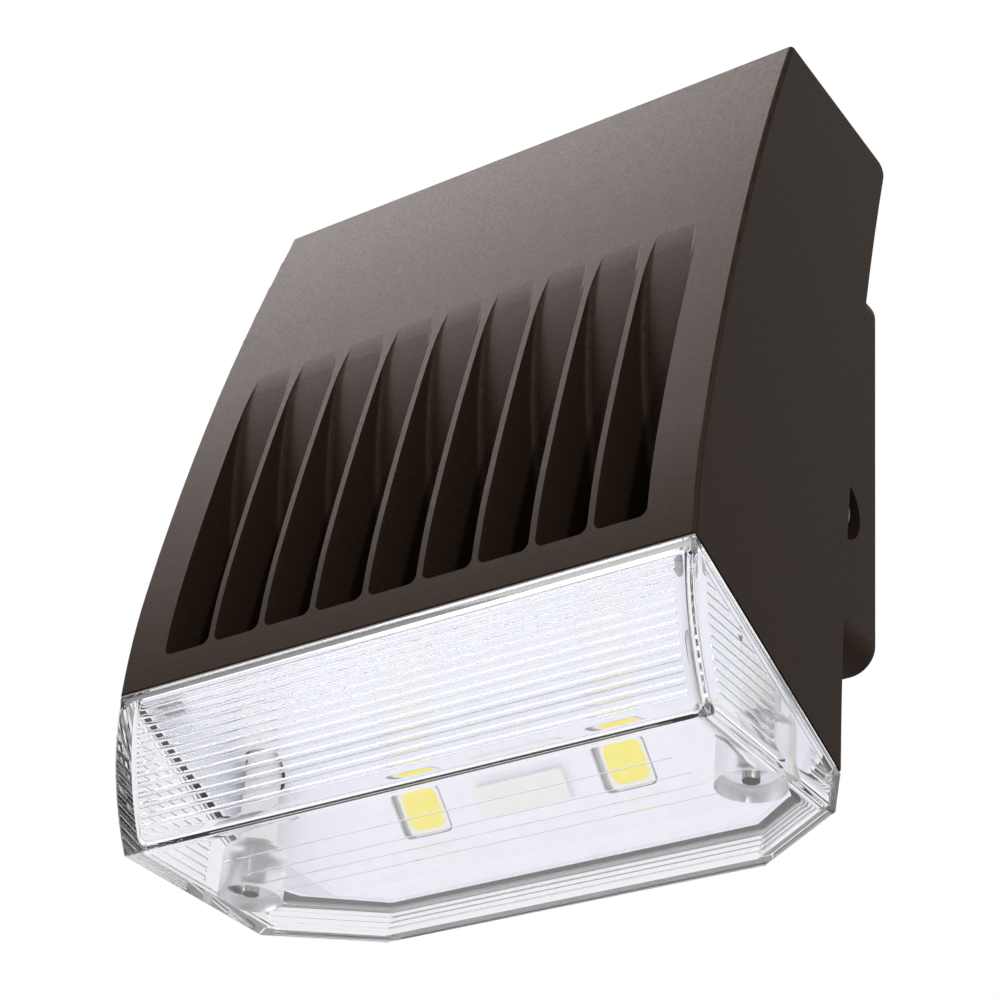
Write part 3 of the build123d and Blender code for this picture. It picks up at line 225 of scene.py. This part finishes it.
def satin(name, colour, variation, rough=0.4, grain=400.0, metallic=0.0, relief=0.0):
    """A plain surface with slight mottling in colour and gloss, on 0-255 display values."""
    material, tree, shader = new_material(name)
    mean = srgb(*colour)[:3]
    low = tuple(c * (1 - variation) for c in mean) + (1.0,)
    high = tuple(min(1.0, c * (1 + variation)) for c in mean) + (1.0,)
    pattern = noise(tree, grain, 3.0)
    tree.links.new(ramp(tree, pattern, (0.35, low), (0.65, high)), shader.inputs["Base Color"])
    smooth, dull = grey(rough * GLOSS_LOW), grey(min(1.0, rough * GLOSS_HIGH))
    tree.links.new(ramp(tree, pattern, (0.3, smooth), (0.7, dull)), shader.inputs["Roughness"])
    shader.inputs["Metallic"].default_value = metallic
    if relief:
        bump(tree, shader, noise(tree, grain * RELIEF_FINER, 2.0), relief, RELIEF_STRENGTH)
    return material


# Colour, its variation, roughness and grain of the plain surfaces.
SATINS = {
    "stainless": ((176, 176, 174), 0.05, 0.3, 900.0, 1.0),
    "white_coat": ((238, 239, 245), 0.02, 0.45, 300.0, 0.0, 0.03 * MM),
    "white_plastic": ((236, 236, 232), 0.02, 0.35, 500.0),
    "phosphor": ((250, 236, 82), 0.04, 0.35, 1500.0, 0.0, 0.03 * MM),
    "board_white": ((228, 228, 226), 0.02),
    "board_green": ((38, 110, 60), 0.08, 0.35),
    "silicone_grey": ((150, 148, 146), 0.05, 0.6),
    "foam_black": ((38, 37, 36), 0.15, 0.85, 1200.0, 0.0, 0.2 * MM),
    "thermal_grey": ((140, 148, 156), 0.05, 0.7),
    "bronze_screw": ((44, 39, 36), 0.12, 0.35, 1500.0, 0.0, 0.06 * MM),
    "green_screw": ((30, 120, 60), 0.08, 0.3, 400.0, 0.6),
    "driver_aluminium": ((196, 198, 200), 0.05, 0.4, 400.0, 1.0),
    "component_dark": ((40, 40, 44), 0.1, 0.5),
    "wire_black": ((28, 28, 28), 0.1, 0.45),
    "connector_orange": ((214, 110, 32), 0.06, 0.45),
}


def make_materials():
    """One material for each material slot of the record."""
    materials = {name: satin(name, *look) for name, look in SATINS.items()}
    for name, make in (("bronze_powder_coat", powder_coat), ("clear_acrylic", clear_acrylic)):
        materials[name] = make(name)
    return materials


def dress_nodes(materials):
    """Give every CAD node the material of its record slot."""
    for part in frame["record"]["subparts"]:
        node = nodes[part["node"]]
        node.data.materials.clear()
        node.data.materials.append(materials[part["material_slot"]])


# ---- surroundings -----------------------------------------------------------
FLOOR_Z = -0.62
FLOOR_SIZE = 12.0
FLOOR_PAINT = ((222, 222, 222), 0.01, 0.7, 3.0)
FLOOR_WHITENESS = 0.7
SKY_COLOUR, SKY_STRENGTH = (0.97, 0.98, 1.0, 1.0), 0.75
WHITE = (1.0, 1.0, 1.0)

# Lamps: direction seen from the object, distance, size, radiance and colour.
AIM = Vector((0.0, -0.05, 0.0))
LAMPS = {
    "overhead": ((-0.48, -0.14, 0.87), 1.5, (0.85, 0.85), 11.0, (1.0, 0.94, 0.93)),
    "front_soft": ((-0.45, -0.62, 0.63), 1.8, (1.0, 1.0), 6.0, WHITE),
    "slot_glint": ((0.68, -0.5, 0.54), 2.0, (0.08, 0.3), 260.0, WHITE),
}


def add_world():
    """A plain pale world as light, and white where it is seen, mirrored or shows through."""
    world = bpy.data.worlds.new("studio")
    bpy.context.scene.world = world
    world.use_nodes = True
    tree = world.node_tree
    light = find_node(tree, "BACKGROUND")
    light.inputs["Color"].default_value = SKY_COLOUR
    light.inputs["Strength"].default_value = SKY_STRENGTH
    seen = tree.nodes.new("ShaderNodeBackground")
    seen.inputs["Color"].default_value = (*WHITE, 1.0)
    seen.inputs["Strength"].default_value = 1.0
    ray = tree.nodes.new("ShaderNodeLightPath").outputs
    clear = math_node(tree, "MAXIMUM", ray["Is Glossy Ray"], ray["Is Transmission Ray"])
    clear = math_node(tree, "MAXIMUM", clear, ray["Is Camera Ray"])
    whole = mix_shaders(tree, clear, light.outputs["Background"], seen.outputs["Background"])
    tree.links.new(whole, find_node(tree, "OUTPUT_WORLD").inputs["Surface"])


def floor_paint(name):
    """Paint that looks nearly white, to meet the background, and is clear from below."""
    material = satin(name, *FLOOR_PAINT)
    tree = material.node_tree
    paint = find_node(tree, "BSDF_PRINCIPLED")
    white = tree.nodes.new("ShaderNodeEmission")
    clear = tree.nodes.new("ShaderNodeBsdfTransparent")
    seen = tree.nodes.new("ShaderNodeLightPath").outputs["Is Camera Ray"]
    underside = tree.nodes.new("ShaderNodeNewGeometry").outputs["Backfacing"]
    pale = mix_shaders(tree, math_node(tree, "MULTIPLY", seen, FLOOR_WHITENESS),
                       paint.outputs["BSDF"], white.outputs["Emission"])
    whole = mix_shaders(tree, math_node(tree, "MULTIPLY", seen, underside),
                        pale, clear.outputs["BSDF"])
    tree.links.new(whole, find_node(tree, "OUTPUT_MATERIAL").inputs["Surface"])
    return material


def add_floor():
    data = bpy.data.meshes.new("floor")
    s = FLOOR_SIZE / 2
    corners = [(-s, -s, FLOOR_Z), (s, -s, FLOOR_Z), (s, s, FLOOR_Z), (-s, s, FLOOR_Z)]
    data.from_pydata(corners, [], [(0, 1, 2, 3)])
    floor = bpy.data.objects.new("floor", data)
    bpy.context.scene.collection.objects.link(floor)
    floor.data.materials.append(floor_paint("pale_floor"))


def add_lamp(name, toward, distance, size, radiance, colour):
    """A soft rectangular lamp that faces the object."""
    data = bpy.data.lights.new(name, "AREA")
    data.shape = "RECTANGLE"
    data.size, data.size_y = size
    data.energy = radiance * math.pi * size[0] * size[1]
    data.color = colour
    lamp = bpy.data.objects.new(name, data)
    bpy.context.scene.collection.objects.link(lamp)
    direction = Vector(toward).normalized()
    lamp.location = AIM + direction * distance
    lamp.rotation_mode = "QUATERNION"
    lamp.rotation_quaternion = (-direction).to_track_quat("-Z", "Y")


dress_nodes(make_materials())
add_camera()
add_world()
add_floor()
for lamp_name, lamp_look in LAMPS.items():
    add_lamp(lamp_name, *lamp_look)
bpy.context.scene.view_settings.view_transform = "Standard"
